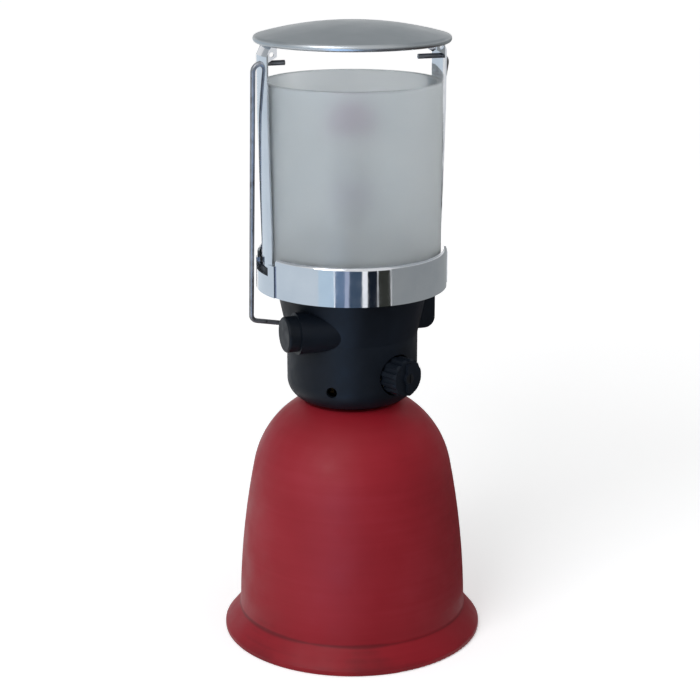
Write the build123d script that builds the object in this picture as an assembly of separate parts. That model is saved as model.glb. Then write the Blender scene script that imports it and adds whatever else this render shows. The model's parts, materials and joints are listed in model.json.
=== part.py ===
from build123d import *
import os
from math import asin, atan2, cos, degrees, hypot, radians, sin, sqrt, tan

# Camping gas lantern on a pierceable cartridge, in millimetres.
# Frame: +Z up, origin at the middle of the foot, uprights and bail axis along X, knob towards -Y.

# Clearances
GAP = 0.3
FIT = 0.1
RUNNING = 0.06

# Gas cartridge
CAN_R = 45.0
CAN_H = 93.0
CAN_BASE_Z = 6.0
CAN_DOME_H = 42.0
CAN_FLAT_R = 12.0
CAN_WALL = 0.6
CAN_CHIME_W = 4.0
CAN_RECESS = 3.5

# Bell-shaped holder
HOLDER_WALL = 2.0
HOLDER_ROOM = 6.4
FOOT_FLARE = 7.3
FOOT_EDGE = 2.4
FLARE_Z = 11.3
FLARE_FILLET = 3.0
FOOT_FILLET = 0.8
DOME_INSET = 1.3
DOME_CENTRE_R = 3.0
DOME_DROP = 25.3
DOME_START = 11.3
CROWN_R = 22.78

# Neck, stirrup and rivets
SPIGOT_R = 12.0
BUSH_WALL = 2.4
BUSH_FLANGE_W = 2.8
BUSH_FLANGE_T = 2.0
BUSH_LOWER = 8.0
THREAD_ROOM = 0.15
STRAP_T = 0.8
STRAP_W = 12.0
HOOK_REACH = 2.5
JOGGLE_DROP = 14.0
RIVET_R = 0.9
RIVET_HEAD_R = 1.3
RIVET_HEAD_T = 0.6
RIVETS = 3
WASHER_T = 1.0
WASHER_W = 1.8

# Valve housing
HOUSING_R = 30.0
HOUSING_H = 65.5
HOUSING_WALL = 2.2
BOWL_FILLET = 9.8
CONE_UP = 31.3
CONE_STEP = 7.25
RIM_H = 11.6
RIM_WALL = 2.0
RIM_LEDGE = 4.6
RIM_FLOOR = 2.2
SOCKET_DEPTH = 1.0
VENT_R = 2.5
VENT_UP = 10.1
VENT_ANGLE = -129.0
VENTS = 4
LUG_OUT = 38.5
LUG_W = 13.0
LUG_H = 23.0
LUG_CORNER = 5.0
POST_R = 3.0
POST_H = 12.0
POST_INSET = 0.6
POST_ANGLES = (0.0, 120.0, 240.0)

# Valve block, needle, seal and jet
BLOCK_R = 10.0
BLOCK_H = 26.7
BLOCK_FLANGE_R = 17.5
BLOCK_FLANGE_T = 3.3
BLOCK_SCREW_RING_R = 14.9
BLOCK_SCREW_R = 1.1
BLOCK_SCREW_HEAD_R = 2.0
BLOCK_SCREW_HEAD_T = 1.2
BLOCK_SCREW_L = 4.4
BLOCK_SCREWS = 3
GAS_BORE_R = 0.9
NEEDLE_R = 1.2
NEEDLE_BORE_R = 0.5
NEEDLE_OUT = 7.0
NEEDLE_IN = 7.0
NEEDLE_TIP = 2.2
PIERCE_ROOM = 0.2
SEAL_R = 8.0
SEAL_BORE_R = 2.2
SEAL_T = 2.4
SEAL_ROOM = 0.1
JET_R = 3.2
JET_H = 5.0
JET_TIP_R = 1.6
JET_TIP_H = 2.0
JET_SHANK_R = 2.4
JET_SHANK_H = 3.2
JET_BORE_R = 0.4

# Valve spindle and knob, on an axis that leaves the housing to the front
KNOB_ANGLE = -68.0
KNOB_UP = 16.4
KNOB_R = 8.8
KNOB_DEPTH = 10.4
KNOB_FACE = 38.1
KNOB_FLUTES = 12
KNOB_FLUTE_R = 1.6
KNOB_FLUTE_CUT = 0.9
KNOB_ROOM = 0.7
KNOB_EDGE = 0.8
GRIP_W = 3.4
GRIP_T = 1.2
GRIP_L = 13.6
BRANCH_R = 6.5
BRANCH_L = 20.5
SPINDLE_R = 2.4
SPINDLE_IN_KNOB = 5.6
SPINDLE_TIP_R = 0.4
SPINDLE_TIP_AT = 5.2
SPINDLE_TIP_L = 3.0
SEAT_AT = 6.0
GLAND_BORE_R = 4.2
GLAND_BORE_L = 5.5
GLAND_NOSE_L = 3.2
GLAND_FLATS = 11.5
GLAND_HEX_T = 4.5
ORING_R = 0.85
KNOB_SCREW_R = 1.1
KNOB_SCREW_L = 7.0
KNOB_SCREW_HEAD_R = 2.2
KNOB_SCREW_HEAD_T = 1.4

# Piezo igniter, in a barrel that points to -X
IGNITER_OUT = 17.5
IGNITER_UP = 37.6
BARREL_R = 9.4
BARREL_WALL = 1.3
BARREL_MOUTH = 33.6
BARREL_TAIL = -6.0
BUTTON_FACE = 39.1
BUTTON_TRAVEL = 5.5
BUTTON_SKIRT = 9.0
BUTTON_WALL = 1.6
BUTTON_TOP_T = 2.2
BUTTON_EDGE = 1.0
UNIT_FRONT = 19.0
UNIT_TAIL_R = 5.0
UNIT_TAIL_L = 8.0
IGNITER_RING_T = 2.5
IGNITER_RING_BORE_R = 6.0
PLUNGER_R = 3.4
PLUNGER_IN = 6.0
SPRING_R = 4.75
SPRING_WIRE_R = 0.45
SPRING_TURNS = 7

# Burner
SLEEVE_R = 6.2
SLEEVE_WALL = 1.6
SLEEVE_H = 15.0
SLEEVE_TAPER = 5.0
AIR_HOLE_R = 2.2
AIR_HOLE_UP = 9.0
TUBE_R = 3.5
TUBE_WALL = 0.7
TUBE_ABOVE_TRAY = 22.0
HEAD_R = 8.3
HEAD_FOOT_R = 4.8
HEAD_H = 14.0
HEAD_SOCKET = 5.0
HEAD_CONE_H = 4.6
HEAD_WALL = 1.8
GROOVE_DEPTH = 1.0
GROOVE_H = 4.0
GROOVE_UP = 6.0
GAUZE_H = 7.5
GAUZE_TOP_R = 3.0
GAUZE_T = 0.6
GAUZE_BULGE_R = 6.3
GAUZE_BULGE_H = 5.0
SUPPORT_WIRE_R = 0.7
SUPPORT_H = 24.5
SUPPORT_RING_R = 9.6
MANTLE_T = 0.6
MANTLE_WAIST_R = 5.6
MANTLE_CROWN_R = 11.0
MANTLE_TOP_H = 8.0
TIE_R = 0.5

# Tray, collar and glass
GLASS_R = 40.0
GLASS_WALL = 2.5
GLASS_H = 79.7
GLASS_EDGE = 0.9
TRAY_T = 0.8
TRAY_OVER = 0.3
TRAY_VENTS = 8
TRAY_VENT_R = 3.0
TRAY_VENT_RING_R = 23.0
TRAY_SCREW_R = 1.2
TRAY_SCREW_HEAD_R = 2.4
TRAY_SCREW_HEAD_T = 1.6
TRAY_SCREW_L = 9.0
TRAY_NUT_FLATS = 11.0
TRAY_NUT_T = 3.2
COLLAR_T = 0.8
COLLAR_H = 17.5
COLLAR_LIP_T = 0.6
COLLAR_LIP_W = 0.6
COLLAR_CURL = 1.4
NOTCH_HALF = 16.7
NOTCH_DROP = 3.2
NOTCH_CORNER = 2.0
SLOT_DROP = 8.4
SLOT_ROOM = 0.5
PANEL_OUT = 0.7

# Electrode and its lead
ELECTRODE_X = 10.5
ELECTRODE_Y = -10.5
INSULATOR_R = 2.2
INSULATOR_BELOW = 9.0
INSULATOR_ABOVE = 15.0
ELECTRODE_R = 0.6
ELECTRODE_RISE = 12.0
ELECTRODE_BEND = 2.0
SPARK_GAP = 1.4
LEAD_R = 1.0
LEAD_LOOP = 7.0
LEAD_SIDE = 2.0
LEAD_DROP = 11.0
LEAD_RISE = 6.0
LEAD_BEND = 2.2

# Guard: uprights, cap and bail
STRIP_T = 0.8
STRIP_HALF = 10.0
STRIP_ROOM = 0.6
COLLAR_ROOM = 0.75
STRIP_LEAN = 1.4
STRIP_STRAIGHT = 12.0
LEAN_H = 56.0
CAP_OVERHANG = 3.75
CAP_GAP = 18.5
CAP_RISE = 7.3
CAP_T = 0.9
BEAD_R = 1.6
TAB_L = 10.0
NECK_DROP = 4.2
NECK_IN = 2.4
EAR_DEPTH = 4.8
EAR_H = 2.8
EAR_T = 0.8
EAR_HOLE_R = 1.0
EAR_HOLE_UP = 1.0
PIVOT_DROP = 9.5
WIRE_R = 1.15
PIN_INSIDE = 10.5
BAIL_DROP = 126.2
BAIL_VEE = 8.0
BAIL_NARROW = 6.9
BAIL_CORNER = 3.6
BAIL_CAP_ROOM = 1.0
BAIL_REST_ROOM = 0.4

# Places worked out from the sizes above
CAN_TOP_Z = CAN_BASE_Z + CAN_H
CAN_SHOULDER_Z = CAN_TOP_Z - CAN_DOME_H
WALL_R = CAN_R + HOLDER_ROOM + HOLDER_WALL
FOOT_R = WALL_R + FOOT_FLARE
DOME_R = CAN_R - DOME_INSET
DOME_Z = CAN_TOP_Z - DOME_DROP
CROWN_Z = DOME_Z + sqrt(DOME_R**2 - (CROWN_R - DOME_CENTRE_R) ** 2)
CROWN_IN_Z = CROWN_Z - HOLDER_WALL
BUSH_BORE_R = SPIGOT_R + THREAD_ROOM
BUSH_R = BUSH_BORE_R + BUSH_WALL
BUSH_FLANGE_R = BUSH_R + BUSH_FLANGE_W
RIVET_RING_R = (BUSH_R + BUSH_FLANGE_R) / 2
HOUSING_Z = CROWN_Z + WASHER_T
FLOOR_Z = HOUSING_Z + HOUSING_WALL
SPIGOT_HOLE_R = SPIGOT_R + GAP
SPIGOT_Z = CAN_TOP_Z + SEAL_ROOM + SEAL_T
BLOCK_TOP_Z = FLOOR_Z + BLOCK_H
RIM_Z = HOUSING_Z + HOUSING_H
RIM_UNDER_Z = RIM_Z - RIM_H
KNOB_Z = HOUSING_Z + KNOB_UP
IGNITER_Z = HOUSING_Z + IGNITER_UP
STRIP_IN_R = GLASS_R + STRIP_ROOM
STRIP_OUT_R = STRIP_IN_R + STRIP_T
COLLAR_IN_R = STRIP_OUT_R + COLLAR_ROOM
COLLAR_R = COLLAR_IN_R + COLLAR_T
COLLAR_Z = RIM_UNDER_Z - COLLAR_LIP_T
COLLAR_TOP_Z = COLLAR_Z + COLLAR_H
RIM_R = COLLAR_IN_R - FIT
CONE_TOP_R = RIM_R - CONE_STEP
POST_RING_R = CONE_TOP_R - HOUSING_WALL - POST_INSET
GLASS_Z = RIM_Z + TRAY_T
GLASS_TOP_Z = GLASS_Z + GLASS_H
TUBE_TOP_Z = GLASS_Z + TUBE_ABOVE_TRAY
HEAD_Z = TUBE_TOP_Z - HEAD_SOCKET
HEAD_TOP_Z = HEAD_Z + HEAD_H
GAUZE_TOP_Z = HEAD_TOP_Z + GAUZE_H
GROOVE_Z = HEAD_Z + GROOVE_UP
SUPPORT_RING_Z = GAUZE_TOP_Z + SUPPORT_H
CAP_R = GLASS_R + CAP_OVERHANG
CAP_RIM_Z = GLASS_TOP_Z + CAP_GAP
CAP_TOP_Z = CAP_RIM_Z + CAP_RISE
BEAD_RING_R = CAP_R - BEAD_R
CAP_BALL_R = (BEAD_RING_R**2 + CAP_RISE**2 - BEAD_R**2) / (2 * (CAP_RISE - BEAD_R))
CAP_BALL_Z = CAP_TOP_Z - CAP_BALL_R
PIVOT_Z = CAP_RIM_Z - PIVOT_DROP
BAIL_X = CAP_R + WIRE_R + BAIL_CAP_ROOM
BARREL_BORE_R = BARREL_R - BARREL_WALL
BUTTON_R = BARREL_BORE_R - RUNNING

ON_FLOOR = (Align.CENTER, Align.CENTER, Align.MIN)
KNOB_AXIS = Plane(
    (0, 0, KNOB_Z),
    x_dir=(0, 0, 1),
    z_dir=(cos(radians(KNOB_ANGLE)), sin(radians(KNOB_ANGLE)), 0),
)
IGNITER_AXIS = Plane((0, -IGNITER_OUT, IGNITER_Z), x_dir=(0, 0, 1), z_dir=(-1, 0, 0))


def turned(*outline):
    """Solid of revolution about Z from (radius, height) corners."""
    return spun(make_face(Polyline(*outline, close=True)))


def spun(face):
    """Solid of revolution about Z from a face drawn in radius and height."""
    return revolve(Plane.XZ * face, Axis.Z)


def sector(face, half_angle):
    """The part of a turned solid within half_angle of the +X side."""
    return Rot(0, 0, -half_angle) * revolve(Plane.XZ * face, Axis.Z, 2 * half_angle)


def rod(radius, low, high):
    return Pos(0, 0, low) * Cylinder(radius, high - low, align=ON_FLOOR)


def ring(outer, inner, low, high):
    return rod(outer, low, high) - rod(inner, low, high)


def hex_nut(flats, bore, low, high):
    prism = extrude(RegularPolygon(flats / 2, 6, major_radius=False), high - low)
    return Pos(0, 0, low) * prism - rod(bore, low, high)


def spots(count, radius, first=0.0):
    """Places evenly spread on a circle about Z."""
    return [Rot(0, 0, first + 360 * i / count) * Pos(radius, 0, 0) for i in range(count)]


def rounded(face, radius, *corners):
    """The face with the corners nearest the given points rounded."""
    for corner in corners:
        face = fillet(face.vertices().sort_by_distance((*corner, 0))[0], radius)
    return face


# Holder


def bell_face(inset):
    """Half section of the bell's outside, moved inwards by inset, down to the axis."""
    lean = atan2(FOOT_FLARE, FLARE_Z - FOOT_EDGE)
    wall = WALL_R - inset
    flare = FLARE_Z - inset * tan(lean / 2)
    foot = FOOT_R if inset == 0 else FOOT_R - FOOT_EDGE
    foot_top = flare - (foot - wall) / tan(lean)
    dome = DOME_R - inset
    start = radians(DOME_START)
    crown_angle = asin((CROWN_Z - inset - DOME_Z) / dome)
    shoulder = (DOME_CENTRE_R + dome * cos(start), DOME_Z + dome * sin(start))
    side = TangentArc(shoulder, (wall, flare), tangent=(sin(start), -cos(start)))
    top = CenterArc((DOME_CENTRE_R, DOME_Z), dome, DOME_START, degrees(crown_angle) - DOME_START)
    edge = Polyline(top @ 1, (0, CROWN_Z - inset), (0, 0), (foot, 0), (foot, foot_top), (wall, flare))
    return rounded(make_face(Curve() + [side, top, edge]), FLARE_FILLET, (wall, flare))


def cartridge_holder():
    shell = spun(bell_face(0)) - spun(bell_face(HOLDER_WALL))
    shell -= rod(BUSH_R + FIT, 0, CROWN_Z)
    for spot in spots(RIVETS, RIVET_RING_R):
        shell -= spot * rod(RIVET_R, 0, CROWN_Z)
    rim = shell.edges().filter_by(GeomType.CIRCLE).filter_by(lambda e: abs(e.radius - FOOT_R) < FIT)
    return fillet(rim, FOOT_FILLET)


def neck_bush():
    flange_top = CROWN_IN_Z - STRAP_T
    bush = rod(BUSH_R, CROWN_IN_Z - BUSH_LOWER, CROWN_Z)
    bush += rod(BUSH_FLANGE_R, flange_top - BUSH_FLANGE_T, flange_top)
    bush -= rod(BUSH_BORE_R, 0, CROWN_Z)
    for spot in spots(RIVETS, RIVET_RING_R):
        bush -= spot * rod(RIVET_R, 0, CROWN_Z)
    return bush


def cartridge_stirrup():
    room = DOME_CENTRE_R + DOME_R - HOLDER_WALL - GAP
    outside = sqrt(room**2 - (STRAP_W / 2) ** 2)
    bend = outside - DOME_CENTRE_R
    top_angle = degrees(asin((CROWN_IN_Z - DOME_Z) / bend))
    over = CenterArc((DOME_CENTRE_R, DOME_Z), bend, 0, top_angle)
    under = CenterArc((DOME_CENTRE_R, DOME_Z), bend - STRAP_T, 0, top_angle)
    arch = make_face(Curve() + [over, under, Line(over @ 0, under @ 0), Line(over @ 1, under @ 1)])
    leg_in = CAN_R + GAP
    leg_out = leg_in + STRAP_T
    joggle = DOME_Z - JOGGLE_DROP
    leg = make_face(
        Polyline(
            (outside, DOME_Z),
            (leg_out, joggle),
            (leg_out, CAN_BASE_Z - STRAP_T),
            (CAN_R - HOOK_REACH, CAN_BASE_Z - STRAP_T),
            (CAN_R - HOOK_REACH, CAN_BASE_Z),
            (leg_in, CAN_BASE_Z),
            (leg_in, joggle),
            (outside - STRAP_T, DOME_Z),
            close=True,
        )
    )
    arm = extrude(Plane.XZ * (arch + leg), STRAP_W / 2, both=True)
    flat_r = DOME_CENTRE_R + sqrt((DOME_R - HOLDER_WALL) ** 2 - (CROWN_IN_Z - DOME_Z) ** 2) - GAP
    strap = rod(flat_r, CROWN_IN_Z - STRAP_T, CROWN_IN_Z)
    strap += [Rot(0, 0, 90) * arm, Rot(0, 0, -90) * arm]
    strap -= rod(BUSH_FLANGE_R + FIT, CROWN_IN_Z - BUSH_LOWER, CROWN_IN_Z - STRAP_T)
    strap -= rod(BUSH_R + FIT, CROWN_IN_Z - BUSH_LOWER, CROWN_Z)
    for spot in spots(RIVETS, RIVET_RING_R):
        strap -= spot * rod(RIVET_R, CROWN_IN_Z - BUSH_LOWER, CROWN_Z)
    return strap


def neck_rivets():
    low = CROWN_IN_Z - STRAP_T - BUSH_FLANGE_T
    rivet = rod(RIVET_R, low, CROWN_Z)
    rivet += rod(RIVET_HEAD_R, low - RIVET_HEAD_T, low)
    rivet += rod(RIVET_HEAD_R, CROWN_Z, CROWN_Z + RIVET_HEAD_T)
    return Compound([spot * rivet.solid() for spot in spots(RIVETS, RIVET_RING_R)])


def can_face(inset):
    """Half section of the cartridge, moved inwards by inset."""
    across = CAN_R - CAN_FLAT_R
    bend = (across**2 + CAN_DOME_H**2) / (2 * across)
    top = CAN_TOP_Z - inset
    wall = CAN_R - inset
    base = CAN_BASE_Z + inset
    rise = asin((top - CAN_SHOULDER_Z) / (bend - inset))
    dome = CenterArc((CAN_R - bend, CAN_SHOULDER_Z), bend - inset, 0, degrees(rise))
    chime = CAN_R - CAN_CHIME_W + inset
    edge = Polyline(
        dome @ 1,
        (0, top),
        (0, base + CAN_RECESS),
        (chime, base + CAN_RECESS),
        (chime, base),
        (wall, base),
        dome @ 0,
    )
    return make_face(Curve() + [dome, edge])


def gas_cartridge():
    can = spun(can_face(0)) - spun(can_face(CAN_WALL))
    return can - rod(NEEDLE_R + PIERCE_ROOM, CAN_SHOULDER_Z, CAN_TOP_Z)


def neck_washer():
    inner = SPIGOT_HOLE_R
    return ring(inner + WASHER_W, inner, CROWN_Z, HOUSING_Z)


# Head


def housing_shell():
    inner_cone_r = CONE_TOP_R - HOUSING_WALL
    inner_r = HOUSING_R - HOUSING_WALL
    cone_z = HOUSING_Z + CONE_UP
    rim_in = RIM_R - RIM_WALL
    ledge_in = RIM_R - RIM_LEDGE
    ledge_z = RIM_Z - RIM_WALL
    face = make_face(
        Polyline(
            (SPIGOT_HOLE_R, HOUSING_Z),
            (HOUSING_R, HOUSING_Z),
            (HOUSING_R, cone_z),
            (CONE_TOP_R, RIM_UNDER_Z),
            (RIM_R, RIM_UNDER_Z),
            (RIM_R, RIM_Z),
            (ledge_in, RIM_Z),
            (ledge_in, ledge_z),
            (rim_in, ledge_z),
            (rim_in, RIM_UNDER_Z + RIM_FLOOR),
            (inner_cone_r, RIM_UNDER_Z + RIM_FLOOR),
            (inner_cone_r, RIM_UNDER_Z),
            (inner_r, cone_z),
            (inner_r, FLOOR_Z),
            (SPIGOT_HOLE_R, FLOOR_Z),
            close=True,
        )
    )
    face = rounded(face, BOWL_FILLET, (HOUSING_R, HOUSING_Z))
    face = rounded(face, BOWL_FILLET - HOUSING_WALL, (inner_r, FLOOR_Z))
    return spun(face)


def housing_lug():
    """Lug under the collar on the +X side, with a rounded lower corner."""
    inside = HOUSING_R - HOUSING_WALL / 2
    low = RIM_UNDER_Z - LUG_H
    face = make_face(
        Polyline(
            (inside, low),
            (LUG_OUT, low),
            (LUG_OUT, RIM_UNDER_Z + RIM_FLOOR / 2),
            (inside, RIM_UNDER_Z + RIM_FLOOR / 2),
            close=True,
        )
    )
    return extrude(Plane.XZ * rounded(face, LUG_CORNER, (LUG_OUT, low)), LUG_W / 2, both=True)


def socket_cut():
    low = RIM_Z - SOCKET_DEPTH
    face = make_face(
        Polyline(
            (STRIP_IN_R - FIT, low),
            (RIM_R + FIT, low),
            (RIM_R + FIT, RIM_Z),
            (STRIP_IN_R - FIT, RIM_Z),
            close=True,
        )
    )
    return sector(face, STRIP_HALF + degrees(GAP / STRIP_IN_R))


def valve_housing():
    body = housing_shell() + housing_lug()
    body += IGNITER_AXIS * rod(BARREL_R, BARREL_TAIL, BARREL_MOUTH)
    body -= IGNITER_AXIS * rod(BARREL_BORE_R, BARREL_TAIL, BARREL_MOUTH)
    posts = [Rot(0, 0, a) * Pos(POST_RING_R, 0, 0) for a in POST_ANGLES]
    for post in posts:
        body += post * rod(POST_R, RIM_Z - POST_H, RIM_Z)
        body -= post * rod(TRAY_SCREW_R, GLASS_Z - TRAY_SCREW_L, RIM_Z)
    body -= KNOB_AXIS * rod(KNOB_R + KNOB_ROOM, HOUSING_R - 2 * HOUSING_WALL, LUG_OUT)
    vent = Pos(0, 0, HOUSING_Z + VENT_UP) * Rot(0, 90, 0)
    for i in range(VENTS):
        turn = Rot(0, 0, VENT_ANGLE + 360 * i / VENTS)
        body -= turn * vent * rod(VENT_R, BLOCK_FLANGE_R, HOUSING_R)
    for spot in spots(BLOCK_SCREWS, BLOCK_SCREW_RING_R):
        body -= spot * rod(BLOCK_SCREW_R, HOUSING_Z, FLOOR_Z)
        body -= spot * rod(BLOCK_SCREW_HEAD_R, HOUSING_Z, HOUSING_Z + BLOCK_SCREW_HEAD_T)
    body -= [socket_cut(), Rot(0, 0, 180) * socket_cut()]
    return body


def valve_block():
    block = rod(SPIGOT_R, SPIGOT_Z, FLOOR_Z)
    block += rod(BLOCK_FLANGE_R, FLOOR_Z, FLOOR_Z + BLOCK_FLANGE_T)
    block += rod(BLOCK_R, FLOOR_Z, BLOCK_TOP_Z)
    block += KNOB_AXIS * rod(BRANCH_R, 0, BRANCH_L)
    block -= rod(GAS_BORE_R, SPIGOT_Z, BLOCK_TOP_Z)
    block -= rod(NEEDLE_R, SPIGOT_Z, SPIGOT_Z + NEEDLE_IN)
    block -= rod(JET_SHANK_R, BLOCK_TOP_Z - JET_SHANK_H, BLOCK_TOP_Z)
    block -= KNOB_AXIS * rod(GAS_BORE_R, 0, SEAT_AT)
    block -= KNOB_AXIS * rod(SPINDLE_R + FIT, SEAT_AT, BRANCH_L)
    block -= KNOB_AXIS * rod(GLAND_BORE_R, BRANCH_L - GLAND_BORE_L, BRANCH_L)
    for spot in spots(BLOCK_SCREWS, BLOCK_SCREW_RING_R):
        block -= spot * rod(BLOCK_SCREW_R, FLOOR_Z, FLOOR_Z + BLOCK_FLANGE_T)
    return block


def block_screws():
    screw = rod(BLOCK_SCREW_HEAD_R, HOUSING_Z, HOUSING_Z + BLOCK_SCREW_HEAD_T)
    screw += rod(BLOCK_SCREW_R, HOUSING_Z, HOUSING_Z + BLOCK_SCREW_L)
    return Compound([spot * screw.solid() for spot in spots(BLOCK_SCREWS, BLOCK_SCREW_RING_R)])


def piercing_needle():
    tip = SPIGOT_Z - NEEDLE_OUT
    return turned(
        (NEEDLE_BORE_R, tip),
        (NEEDLE_R, tip + NEEDLE_TIP),
        (NEEDLE_R, SPIGOT_Z + NEEDLE_IN),
        (NEEDLE_BORE_R, SPIGOT_Z + NEEDLE_IN),
    )


def cartridge_seal():
    return ring(SEAL_R, SEAL_BORE_R, CAN_TOP_Z + SEAL_ROOM, SPIGOT_Z)


def gas_jet():
    shoulder = BLOCK_TOP_Z + JET_H
    tip = shoulder + JET_TIP_H
    return turned(
        (JET_BORE_R, BLOCK_TOP_Z - JET_SHANK_H),
        (JET_SHANK_R, BLOCK_TOP_Z - JET_SHANK_H),
        (JET_SHANK_R, BLOCK_TOP_Z),
        (JET_R, BLOCK_TOP_Z),
        (JET_R, shoulder),
        (JET_TIP_R, tip),
        (JET_BORE_R, tip),
    )


def spindle_seal():
    place = BRANCH_L - GLAND_BORE_L + ORING_R
    return KNOB_AXIS * Pos(0, 0, place) * Torus(GLAND_BORE_R - ORING_R, ORING_R)


def gland_nut():
    nut = hex_nut(GLAND_FLATS, SPINDLE_R + FIT, BRANCH_L, BRANCH_L + GLAND_HEX_T)
    nut += ring(GLAND_BORE_R, SPINDLE_R + FIT, BRANCH_L - GLAND_NOSE_L, BRANCH_L)
    return KNOB_AXIS * nut


def valve_spindle():
    end = KNOB_FACE - KNOB_DEPTH + SPINDLE_IN_KNOB
    spindle = turned(
        (0, SPINDLE_TIP_AT),
        (SPINDLE_TIP_R, SPINDLE_TIP_AT),
        (SPINDLE_R, SPINDLE_TIP_AT + SPINDLE_TIP_L),
        (SPINDLE_R, end),
        (0, end),
    )
    screw_end = KNOB_FACE - KNOB_SCREW_HEAD_T - KNOB_SCREW_L
    return KNOB_AXIS * (spindle - rod(KNOB_SCREW_R + RUNNING, screw_end - GAP, end))


def control_knob():
    back = KNOB_FACE - KNOB_DEPTH
    spindle_end = back + SPINDLE_IN_KNOB
    grip_base = KNOB_FACE - GRIP_T
    knob = rod(KNOB_R, back, grip_base)
    knob = chamfer(knob.edges().sort_by(Axis.Z)[-1], KNOB_EDGE)
    for spot in spots(KNOB_FLUTES, KNOB_R + KNOB_FLUTE_R - KNOB_FLUTE_CUT):
        knob -= spot * rod(KNOB_FLUTE_R, back, KNOB_FACE)
    knob += Pos(0, 0, grip_base) * extrude(SlotOverall(GRIP_L, GRIP_W), GRIP_T)
    knob += rod(KNOB_SCREW_HEAD_R + KNOB_EDGE, grip_base, KNOB_FACE)
    knob -= rod(SPINDLE_R + RUNNING, back, spindle_end)
    knob -= rod(KNOB_SCREW_R, spindle_end, KNOB_FACE)
    knob -= rod(KNOB_SCREW_HEAD_R, KNOB_FACE - KNOB_SCREW_HEAD_T, KNOB_FACE)
    return KNOB_AXIS * knob


def knob_screw():
    head = KNOB_FACE - KNOB_SCREW_HEAD_T
    screw = rod(KNOB_SCREW_HEAD_R, head, KNOB_FACE) + rod(KNOB_SCREW_R, head - KNOB_SCREW_L, head)
    slot = Box(2 * KNOB_SCREW_HEAD_R, KNOB_SCREW_R / 2, KNOB_SCREW_HEAD_T)
    return KNOB_AXIS * (screw - Pos(0, 0, KNOB_FACE) * slot)


def mixing_tube():
    sleeve_top = BLOCK_TOP_Z + SLEEVE_H
    taper_top = sleeve_top + SLEEVE_TAPER
    tube = turned(
        (SLEEVE_R - SLEEVE_WALL, BLOCK_TOP_Z),
        (SLEEVE_R, BLOCK_TOP_Z),
        (SLEEVE_R, sleeve_top),
        (TUBE_R, taper_top),
        (TUBE_R, TUBE_TOP_Z),
        (TUBE_R - TUBE_WALL, TUBE_TOP_Z),
        (TUBE_R - TUBE_WALL, taper_top),
        (SLEEVE_R - SLEEVE_WALL, sleeve_top),
    )
    hole = Pos(0, 0, BLOCK_TOP_Z + AIR_HOLE_UP) * Rot(0, 90, 0)
    return tube - hole * rod(AIR_HOLE_R, -SLEEVE_R, SLEEVE_R)


def burner_head():
    groove_r = HEAD_R - GROOVE_DEPTH
    groove_top = GROOVE_Z + GROOVE_H
    chamber_r = HEAD_R - HEAD_WALL - GROOVE_DEPTH
    return turned(
        (TUBE_R, HEAD_Z),
        (HEAD_FOOT_R, HEAD_Z),
        (HEAD_R, HEAD_Z + HEAD_CONE_H),
        (HEAD_R, GROOVE_Z),
        (groove_r, GROOVE_Z),
        (groove_r, groove_top),
        (HEAD_R, groove_top),
        (HEAD_R, HEAD_TOP_Z),
        (chamber_r, HEAD_TOP_Z),
        (chamber_r, TUBE_TOP_Z),
        (TUBE_R, TUBE_TOP_Z),
    )


def burner_gauze():
    def dome(inset):
        rise = ThreePointArc(
            (HEAD_R - inset, HEAD_TOP_Z),
            (GAUZE_BULGE_R - inset, HEAD_TOP_Z + GAUZE_BULGE_H),
            (GAUZE_TOP_R, GAUZE_TOP_Z - inset),
        )
        edge = Polyline(rise @ 1, (0, GAUZE_TOP_Z - inset), (0, HEAD_TOP_Z), rise @ 0)
        return spun(make_face(Curve() + [rise, edge]))

    return dome(0) - dome(GAUZE_T)


def mantle_support():
    support = rod(SUPPORT_WIRE_R, GAUZE_TOP_Z, SUPPORT_RING_Z)
    support += Pos(0, 0, SUPPORT_RING_Z) * Torus(SUPPORT_RING_R, SUPPORT_WIRE_R)
    spoke = Rot(0, 90, 0) * rod(SUPPORT_WIRE_R, -SUPPORT_RING_R, SUPPORT_RING_R)
    return support + Pos(0, 0, SUPPORT_RING_Z) * spoke


def mantle():
    """Limp sock: tied in the head's groove, drawn in at the waist, full over the support ring."""
    tied_z = GROOVE_Z + GROOVE_H / 2
    tied_r = HEAD_R - GROOVE_DEPTH + FIT
    mouth_z = GROOVE_Z - FIT
    shoulder_z = HEAD_TOP_Z + GAUZE_H / 2
    waist_z = (GAUZE_TOP_Z + SUPPORT_RING_Z) / 2

    def sock(inset):
        mouth = Polyline(
            (0, mouth_z),
            (HEAD_R + FIT + inset, mouth_z),
            (tied_r + inset, tied_z),
            (HEAD_R + FIT + inset, GROOVE_Z + GROOVE_H + FIT),
            (HEAD_R + GAP + inset, HEAD_TOP_Z),
        )
        side = Spline(
            mouth @ 1,
            (HEAD_R + GAP + inset, shoulder_z),
            (MANTLE_WAIST_R + inset, waist_z),
            (MANTLE_CROWN_R + inset, SUPPORT_RING_Z),
            (0, SUPPORT_RING_Z + MANTLE_TOP_H + inset),
            tangents=[(0, 1), (-1, 0)],
        )
        return spun(make_face(Curve() + [mouth, side, Line(side @ 1, mouth @ 0)]))

    return sock(MANTLE_T) - sock(0)


def mantle_tie():
    tied_z = GROOVE_Z + GROOVE_H / 2
    return Pos(0, 0, tied_z) * Torus(HEAD_R - GROOVE_DEPTH + 2 * FIT + MANTLE_T + TIE_R, TIE_R)


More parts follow.
